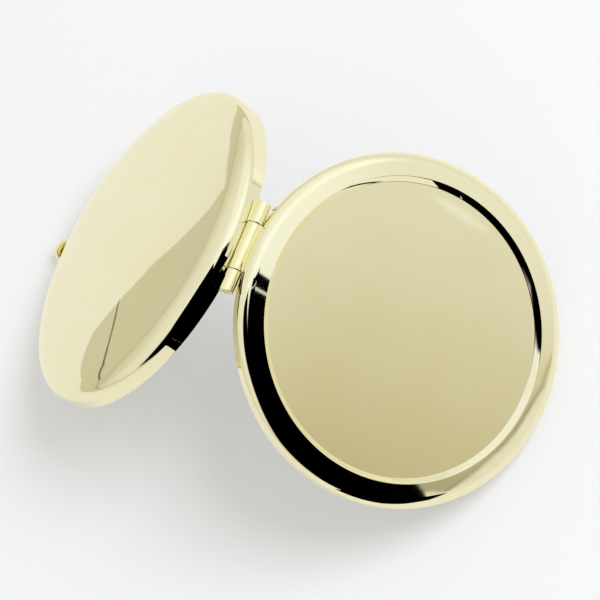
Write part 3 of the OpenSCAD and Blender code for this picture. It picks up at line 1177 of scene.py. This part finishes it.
@dataclass(frozen=True)
class Lamp:
    """A soft area lamp, with its place and width in metres and its power in watts.

    Its light is a little cool, which keeps the floor's shadow neutral beside the warm metal.
    """

    name: str
    place: Corner
    width: float
    power: float
    colour: Corner = (0.97, 1.0, 1.12)
    aim: Corner = (0.0, 0.0, 0.02)

    def hang(self) -> None:
        """Hangs the lamp and aims it at the case; the metal mirrors the tent alone, not the lamp."""
        data = bpy.data.lights.new(self.name, "AREA")
        data.shape = "DISK"
        data.size = self.width
        data.energy = self.power
        data.color = self.colour
        lamp = bpy.data.objects.new(self.name, data)
        bpy.context.scene.collection.objects.link(lamp)
        lamp.location = self.place
        lamp.visible_glossy = False
        ahead = Vector(self.aim) - Vector(self.place)
        lamp.rotation_euler = ahead.to_track_quat("-Z", "Y").to_euler()


@dataclass(frozen=True)
class FloorCard:
    """A sheet of card that lies just above the floor, where only reflections show it.

    Its corners and height are in millimetres. Between near_x and far_x, in metres, its colour turns into
    the far colour.
    """

    name: str
    colour: str
    corners: Curve
    height: float = 0.4
    far_colour: str = ""
    near_x: float = -0.15
    far_x: float = -0.9

    def tinted(self, tree: Tree) -> Socket:
        """The colour, which turns into the far colour with the distance from the case.

        Args:
            tree: The card's material.

        Returns:
            The mixed colour.
        """
        spot = add_node(tree, "ShaderNodeTexCoord").outputs["Object"]
        along = add_node(tree, "ShaderNodeSeparateXYZ", {0: spot}).outputs["X"]
        limits = {"Value": along, "From Min": self.far_x, "From Max": self.near_x, "To Min": 1, "To Max": 0}
        share = add_node(tree, "ShaderNodeMapRange", limits).outputs["Result"]
        ends = {MIX_A: linear(self.colour), MIX_B: linear(self.far_colour or self.colour)}
        return add_node(tree, "ShaderNodeMix", {0: share} | ends, data_type="RGBA").outputs[MIX_RESULT]

    def lay(self) -> None:
        """Draws the card's outline and fills it."""
        card = Bench.draw(self.name, [(x, y, self.height) for x, y in self.corners], True)
        bpy.ops.mesh.edge_face_add()
        bpy.ops.mesh.select_all(action="SELECT")
        bpy.ops.mesh.normals_make_consistent(inside=False)
        Bench.clear()
        material, tree = new_material(self.name)
        shader = add_node(tree, "ShaderNodeBsdfDiffuse", {"Color": self.tinted(tree)})
        add_node(tree, "ShaderNodeOutputMaterial", {"Surface": shader.outputs["BSDF"]})
        card.data.materials.append(material)
        card.visible_camera = False
        card.visible_diffuse = False
        card.visible_shadow = False


class Room:
    """The light tent round the case, painted by direction: azimuth and elevation in degrees.

    Each curve is a row of corners, an angle with the level or the other angle there. A level of 1 is
    white cloth.
    """

    # Cloth in front, over the case, by azimuth.
    white: Curve = ((16.0, 1.05), (24.0, 1.17), (50.0, 1.2), (75.0, 1.13), (100.0, 1.04))
    # Cloth behind the camera, by elevation: dim near the table.
    behind: Curve = (
        (-13.0, 0.74), (0.0, 0.77), (6.0, 0.83), (11.0, 0.9), (17.0, 0.93), (60.0, 0.97), (75.0, 1.04),
        (84.0, 1.2))
    # The softer patch that the lid's floor shows, by azimuth, and the streak that leans through it.
    patch_level: Curve = ((10.0, 0.5), (11.7, 0.61), (12.8, 0.63), (16.4, 0.84), (18.5, 0.92), (21.0, 0.97))
    streak_middle: Point = (17.53, 23.42)
    streak_lean: float = 0.33
    streak_width: float = 0.08
    streak_taper: float = -0.32
    streak_glow: float = 0.1
    # The fold under that patch, elevation by azimuth, and the level below it.
    fold: Curve = (
        (9.54, 21.28), (10.06, 20.31), (10.45, 19.91), (10.86, 19.54), (11.29, 19.2), (11.74, 18.89),
        (12.2, 18.6), (12.67, 18.35), (13.17, 18.13), (13.68, 17.96), (14.2, 17.82), (14.62, 17.73),
        (15.26, 17.61), (15.9, 17.6))
    low_level: float = 0.93
    over_level: float = 0.98
    crease_depth: float = 0.4
    # Bands over which one part of the cloth runs into the next, in degrees.
    over_patch: Point = (24.3, 29.3)
    beside_patch: Point = (20.0, 50.0)
    white_rise: Point = (22.0, 30.0)
    streak_blur: Point = (-0.02, 0.03)
    fold_blur: Point = (-0.02, 0.02)
    crease_blur: Point = (0.015, 0.04)
    crease_fade: Point = (15.5, 18.0)
    left_turn: Point = (140.0, 155.0)
    right_turn: Point = (-80.0, -60.0)
    # Edge of the dark opening on the cloth's side and on the far side, azimuth by elevation.
    near_edge: Curve = (
        (-2.3, -17.5), (17.3, 6.2), (21.1, 9.6), (24.0, 9.7), (26.0, 10.3), (28.0, 12.4), (29.0, 14.2),
        (29.6, 15.4), (30.2, 15.9), (32.0, 16.1), (56.0, 16.3), (65.0, 18.0), (80.0, 30.0), (84.0, 60.0),
        (88.0, 170.0))
    far_edge: Curve = ((1.0, -72.0), (10.0, -97.0), (40.0, -97.0), (48.0, -101.0), (70.0, -150.0))
    near_blur: Point = (-0.06, 0.06)
    far_blur: Point = (-6.0, 6.0)
    top_band: Point = (62.0, 70.0)
    top_side: Point = (-14.0, -10.0)
    table_band: Point = (-1.5, -1.0)
    # The pale seam of the cloth just inside the near edge: its distance and half width, by elevation.
    seam_place: Curve = ((29.0, 0.55), (30.0, 0.7), (45.0, 2.2), (60.0, 4.0), (75.0, 12.0))
    seam_width: Curve = ((27.0, 0.05), (60.0, 0.3), (75.0, 1.0))
    seam_start: Point = (27.5, 28.5)
    seam_dark: float = 0.3
    # Dim cloth is warm and bright cloth is cool, which gives the gold its deep and its pale tones.
    dim: tuple[float, ...] = (1.0, 0.92, 0.70, 1.0)
    bright: tuple[float, ...] = (1.0, 1.045, 1.14, 1.0)
    dim_to_bright: Point = (0.62, 1.05)
    # What lights the floor, and the white that the camera sees past it.
    fill: tuple[float, ...] = (1.0, 0.985, 0.94, 1.0)
    fill_strength: float = 0.65
    camera_strength: float = 0.9

    def __init__(self) -> None:
        """Starts the world's node tree and works out both angles of a direction."""
        world = bpy.data.worlds.new("light_tent")
        bpy.context.scene.world = world
        world.use_nodes = True
        self.tree = world.node_tree
        self.tree.nodes.clear()
        way = add_node(self.tree, "ShaderNodeTexCoord").outputs["Generated"]
        axes = add_node(self.tree, "ShaderNodeSeparateXYZ", {0: way})
        turn = self.add("Math", "ARCTAN2", axes.outputs["Y"], axes.outputs["X"])
        rise = self.add("Math", "ARCSINE", axes.outputs["Z"])
        self.azimuth = self.add("Math", "DEGREES", turn)
        self.elevation = self.add("Math", "DEGREES", rise)

    def add(self, kind: str, option: str, *values: Any) -> Socket:
        """Adds a node of the tent and gives its result.

        Args:
            kind: Math, MapRange or Mix.
            option: The node's own choice, such as the sum that it does.
            values: Numbers or sockets for its inputs in their order; None leaves an input alone.

        Returns:
            The node's first output.
        """
        choice = {"Math": "operation", "MapRange": "interpolation_type", "Mix": "data_type"}[kind]
        inputs = {place: value for place, value in enumerate(values) if value is not None}
        return add_node(self.tree, "ShaderNode" + kind, inputs, **{choice: option}).outputs[0]

    def bent(self, value: Socket, corners: Curve) -> Socket:
        """Follows straight lines between the corners of a curve.

        Args:
            value: The angle.
            corners: The curve.

        Returns:
            The level, which stays the same past both ends.
        """
        first, second = corners[:2]
        level = self.add("MapRange", "LINEAR", value, first[0], second[0], first[1], second[1])
        for start, end in zip(corners[1:], corners[2:]):
            step = self.add("MapRange", "LINEAR", value, start[0], end[0], 0.0, end[1] - start[1])
            level = self.add("Math", "ADD", level, step)
        return level

    def off(self, value: Socket, middle: Any) -> Socket:
        """How far an angle is from a middle, on either side."""
        return self.add("Math", "ABSOLUTE", self.add("Math", "SUBTRACT", value, middle))

    def patch(self) -> Socket:
        """The softer patch of cloth that the lid's floor shows, which brightens away from the opening.

        Returns:
            Its level, with the streak.
        """
        level = self.bent(self.azimuth, self.patch_level)
        along = self.add("Math", "SUBTRACT", self.elevation, self.streak_middle[1])
        lean = self.add("Math", "MULTIPLY_ADD", along, self.streak_lean, self.streak_middle[0])
        across = self.off(self.azimuth, lean)
        square = self.add("Math", "MULTIPLY", along, along)
        width = self.add("Math", "MULTIPLY_ADD", square, self.streak_taper, self.streak_width)
        beyond = self.add("Math", "SUBTRACT", across, width)
        streak = self.add("MapRange", "SMOOTHSTEP", beyond, *self.streak_blur, self.streak_glow, 0.0)
        return self.add("Math", "ADD", level, streak)

    def tent(self) -> Socket:
        """Brightness of the tent's cloth by direction.

        Returns:
            The level.
        """
        over = self.add("MapRange", "SMOOTHSTEP", self.elevation, *self.over_patch, 0.0, 1.0)
        beside = self.add("MapRange", "SMOOTHSTEP", self.azimuth, *self.beside_patch, 0.0, 1.0)
        white = self.bent(self.azimuth, self.white)
        rise = self.add("MapRange", "SMOOTHSTEP", self.elevation, *self.white_rise, 0.0, 1.0)
        high = self.add("Mix", "FLOAT", rise, None, self.over_level, white)
        plain = self.add("Math", "MAXIMUM", over, beside)
        lit = self.add("Mix", "FLOAT", plain, None, self.patch(), high)
        past = self.add("Math", "SUBTRACT", self.elevation, self.bent(self.azimuth, self.fold))
        above = self.add("MapRange", "SMOOTHSTEP", past, *self.fold_blur, 0.0, 1.0)
        front = self.add("Mix", "FLOAT", above, None, self.low_level, lit)
        near = self.add("Math", "ABSOLUTE", past)
        crease = self.add("MapRange", "SMOOTHSTEP", near, *self.crease_blur, self.crease_depth, 0.0)
        fading = self.add("MapRange", "SMOOTHSTEP", self.azimuth, *self.crease_fade, 1.0, 0.0)
        front = self.add("Math", "SUBTRACT", front, self.add("Math", "MULTIPLY", crease, fading))
        left = self.add("MapRange", "SMOOTHSTEP", self.azimuth, *self.left_turn, 0.0, 1.0)
        right = self.add("MapRange", "SMOOTHSTEP", self.azimuth, *self.right_turn, 1.0, 0.0)
        away = self.add("Math", "MAXIMUM", left, right)
        return self.add("Mix", "FLOAT", away, None, front, self.bent(self.elevation, self.behind))

    def seam(self, past: Socket) -> Socket:
        """The seam of the cloth inside the opening, which the dome shows as a fine pale line.

        Args:
            past: How far a direction is inside the opening's near edge.

        Returns:
            The share of the dark that is left, 1 away from the seam.
        """
        place = self.bent(self.elevation, self.seam_place)
        width = self.bent(self.elevation, self.seam_width)
        beside = self.add("Math", "GREATER_THAN", self.off(past, place), width)
        dark = self.add("MapRange", "LINEAR", beside, 0.0, 1.0, self.seam_dark, 1.0)
        under = self.add("MapRange", "SMOOTHSTEP", self.elevation, *self.seam_start, 1.0, 0.0)
        return self.add("Math", "MAXIMUM", dark, under)

    def opening(self) -> Socket:
        """Where the tent is open to the dark room, on the photographer's side.

        Returns:
            1 in the opening, 0 on the cloth.
        """
        rise = self.elevation
        past = self.add("Math", "SUBTRACT", self.bent(rise, self.near_edge), self.azimuth)
        right = self.add("MapRange", "SMOOTHSTEP", past, *self.near_blur, 0.0, 1.0)
        inside = self.add("Math", "SUBTRACT", self.azimuth, self.bent(rise, self.far_edge))
        left = self.add("MapRange", "SMOOTHSTEP", inside, *self.far_blur, 0.0, 1.0)
        under = self.add("MapRange", "SMOOTHSTEP", rise, *self.top_band, 1.0, 0.0)
        aside = self.add("MapRange", "SMOOTHSTEP", self.azimuth, *self.top_side, 1.0, 0.0)
        top = self.add("Math", "MAXIMUM", under, aside)
        low = self.add("MapRange", "SMOOTHSTEP", rise, *self.table_band, 0.0, 1.0)
        sides = self.add("Math", "MULTIPLY", right, left)
        ends = self.add("Math", "MULTIPLY", low, top)
        whole = self.add("Math", "MULTIPLY", sides, ends)
        return self.add("Math", "MULTIPLY", whole, self.seam(past))

    def build(self) -> None:
        """Shows the tent to reflections, plain white to the camera and plain light to all else."""
        tree = self.tree
        cloth = self.tent()
        level = self.add("Math", "MULTIPLY", cloth, self.add("Math", "SUBTRACT", 1.0, self.opening()))
        warmth = self.add("MapRange", "LINEAR", cloth, *self.dim_to_bright, 0.0, 1.0)
        tint = add_node(tree, "ShaderNodeMix", {0: warmth, MIX_A: self.dim, MIX_B: self.bright},
                        data_type="RGBA")
        backgrounds = []
        for colour, strength in ((tint.outputs[MIX_RESULT], level), (self.fill, self.fill_strength),
                                 ((1.0, 1.0, 1.0, 1.0), self.camera_strength)):
            light = add_node(tree, "ShaderNodeBackground", {"Color": colour, "Strength": strength})
            backgrounds.append(light.outputs[0])
        shown, plain, white = backgrounds
        path = add_node(tree, "ShaderNodeLightPath")
        glossy = add_node(tree, "ShaderNodeMixShader",
                          {0: path.outputs["Is Glossy Ray"], 1: plain, 2: shown})
        final = add_node(tree, "ShaderNodeMixShader",
                         {0: path.outputs["Is Camera Ray"], 1: glossy.outputs[0], 2: white})
        add_node(tree, "ShaderNodeOutputWorld", {"Surface": final.outputs[0]})


class Studio:
    """The pale floor, the soft light and the camera at the photograph's angle.

    The camera's place is in millimetres from the hinge, its lens and sensor in millimetres, and the
    floor's size in metres.
    """

    camera_from_hinge: Corner = (281.972, -183.191, 660.277)
    camera_ahead: Corner = (-0.36397915, 0.24064397, -0.89978312)
    camera_up: Corner = (-0.28692237, 0.89009836, 0.35411929)
    camera_lens: float = 230.425
    camera_sensor: float = 36.0
    camera_clip: Point = (0.01, 50.0)
    floor_size: float = 6.0
    # Painted glow, with no lamp under the table: this share of its paper glows for the camera and in
    # reflections, which lifts its shadows, and the glow is brighter in reflections.
    floor_glow_share: float = 0.22
    floor_glow: Point = (1.0, 1.35)
    lamps = (
        Lamp("key_lamp", (0.64, 0.48, 1.10), 0.8, 9.0),
    )
    # Cards far out on the table, from what the dome, the rim and the base's edge mirror of it.
    cards = (
        FloorCard("far_card", "#E2DFCF", (
            (-2500.0, -900.0), (-500.0, -900.0), (-300.0, -300.0), (-206.0, -95.0), (-163.0, -26.0),
            (-134.0, -13.0), (-132.0, -9.0), (-134.0, -3.0), (-146.0, 4.0), (-162.0, 13.0), (-211.0, 38.0),
            (-259.0, 58.0), (-312.0, 83.0), (-345.0, 101.0), (-364.0, 119.0), (-290.0, 107.0),
            (-252.0, 101.0), (-262.0, 118.0), (-288.0, 148.0), (-283.0, 170.0), (-225.0, 178.0),
            (-140.0, 150.0), (-140.0, 900.0), (-2500.0, 900.0)), far_colour="#F1EFE6"),
        FloorCard("card_fold", "#8A8872", (
            (-160.0, 13.0), (-173.0, 7.5), (-178.0, 3.8), (-184.0, -0.5), (-188.0, -4.0), (-224.0, -10.0),
            (-424.0, -50.0), (-1350.0, -620.0), (-1290.0, -680.0), (-422.0, -59.0), (-222.0, -14.0),
            (-184.0, -6.5), (-180.0, -3.0), (-176.0, 1.5), (-171.0, 5.0), (-160.0, 11.0)), 0.6),
        FloorCard("dark_floor", "#000000", (
            (71.0, -73.0), (64.0, -90.0), (56.0, -117.0), (64.0, -140.0), (83.0, -168.0), (158.0, -275.0),
            (328.0, -523.0), (330.0, -683.0), (273.0, -800.0), (0.0, -2900.0), (2900.0, -2900.0),
            (2900.0, -560.0), (374.0, -132.0), (103.0, -72.0))),
    )

    def camera(self, hinge: Vector) -> None:
        """Creates the camera at its place from the hinge and makes it the scene's.

        Args:
            hinge: Point on the hinge axis, in metres.
        """
        place = hinge + Vector(self.camera_from_hinge) * MM
        ahead = Vector(self.camera_ahead).normalized()
        right = ahead.cross(Vector(self.camera_up)).normalized()
        turn = Matrix((right, right.cross(ahead), -ahead)).transposed().to_4x4()
        data = bpy.data.cameras.new("photo_camera")
        data.sensor_fit = "HORIZONTAL"
        data.sensor_width = self.camera_sensor
        data.lens = self.camera_lens
        data.clip_start, data.clip_end = self.camera_clip
        camera = bpy.data.objects.new("photo_camera", data)
        bpy.context.scene.collection.objects.link(camera)
        camera.matrix_world = Matrix.Translation(place) @ turn
        bpy.context.scene.camera = camera

    def floor(self) -> None:
        """Lays the plain pale floor: matt paper that glows a little, so that it comes out near white."""
        Bench.clear()
        bpy.ops.mesh.primitive_plane_add(size=self.floor_size)
        floor = Bench.named("floor")
        material, tree = new_material("pale_paper")
        shader = add_node(tree, "ShaderNodeBsdfPrincipled",
                          {"Base Color": linear("#F5F5F5"), "Roughness": 0.9, "Specular IOR Level": 0.1})
        path = add_node(tree, "ShaderNodeLightPath")
        glossy = path.outputs["Is Glossy Ray"]
        seen = add_node(tree, "ShaderNodeMath", {0: path.outputs["Is Camera Ray"], 1: glossy},
                        operation="MAXIMUM")
        share = add_node(tree, "ShaderNodeMath", {0: seen.outputs[0], 1: self.floor_glow_share},
                         operation="MULTIPLY")
        # Painted glow: it lifts the floor's shadows, and is brighter in reflections.
        glow = add_node(tree, "ShaderNodeMix",
                        {"Factor": glossy, "A": self.floor_glow[0], "B": self.floor_glow[1]})
        light = add_node(tree, "ShaderNodeEmission",
                         {"Color": (1, 1, 1, 1), "Strength": glow.outputs["Result"]})
        paper = add_node(tree, "ShaderNodeMixShader",
                         {0: share.outputs[0], 1: shader.outputs["BSDF"], 2: light.outputs["Emission"]})
        add_node(tree, "ShaderNodeOutputMaterial", {"Surface": paper.outputs["Shader"]})
        floor.data.materials.append(material)

    def build(self, hinge: Vector) -> None:
        """Sets up the whole studio.

        Args:
            hinge: Point on the hinge axis, in metres.
        """
        bpy.context.scene.view_settings.view_transform = "Standard"
        self.camera(hinge)
        self.floor()
        Room().build()
        for lamp in self.lamps:
            lamp.hang()
        for card in self.cards:
            card.lay()


# ---------------------------------------------------------------------------------------------
# The whole
# ---------------------------------------------------------------------------------------------


def carried_over(frame: dict[str, Any], wardrobe: Wardrobe) -> None:
    """Dresses the CAD nodes that stay as they are.

    Args:
        frame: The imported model.
        wardrobe: Where the finishes come from.
    """
    kept = {
        "base_frame": Surface.FRAME, "lid_frame": Surface.FRAME,
        "base_mirror_pad": Surface.FOAM, "lid_mirror_pad": Surface.FOAM,
        "latch_spring": Surface.STEEL, "latch_slider": Surface.STEEL,
        "latch_hook": Surface.STEEL, "hook_rivets": Surface.PIN,
    }
    for name, surface in kept.items():
        wardrobe.dress(frame["nodes"][name], surface)
        log.info("%s: CAD node, %s", name, surface.finish.name)


def main() -> None:
    """Builds the halves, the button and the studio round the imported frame."""
    logging.basicConfig(level=logging.INFO, format="%(message)s")
    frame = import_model()
    joints = {joint["name"]: joint for joint in frame["joints"]}
    hinge = Vector(joints["lid_hinge"]["pos_m"])
    push = joints["button_press"]["axis"]
    base_slope = math.atan2(push[2], push[0])
    lid_slope = math.radians(180 - CaseSizes().open_angle) - base_slope
    wardrobe = Wardrobe()
    base_turn = Matrix.Rotation(-base_slope, 4, "Y") @ Matrix.Rotation(math.pi, 4, "Z")
    lid_turn = Matrix.Rotation(lid_slope, 4, "Y")
    Studio().build(hinge)
    DomedBase(hinge, base_turn, wardrobe).build()
    RimmedLid(hinge, lid_turn, wardrobe).build()
    PushButton(hinge, base_turn, wardrobe).build()
    carried_over(frame, wardrobe)


if __name__ == "__main__":
    main()
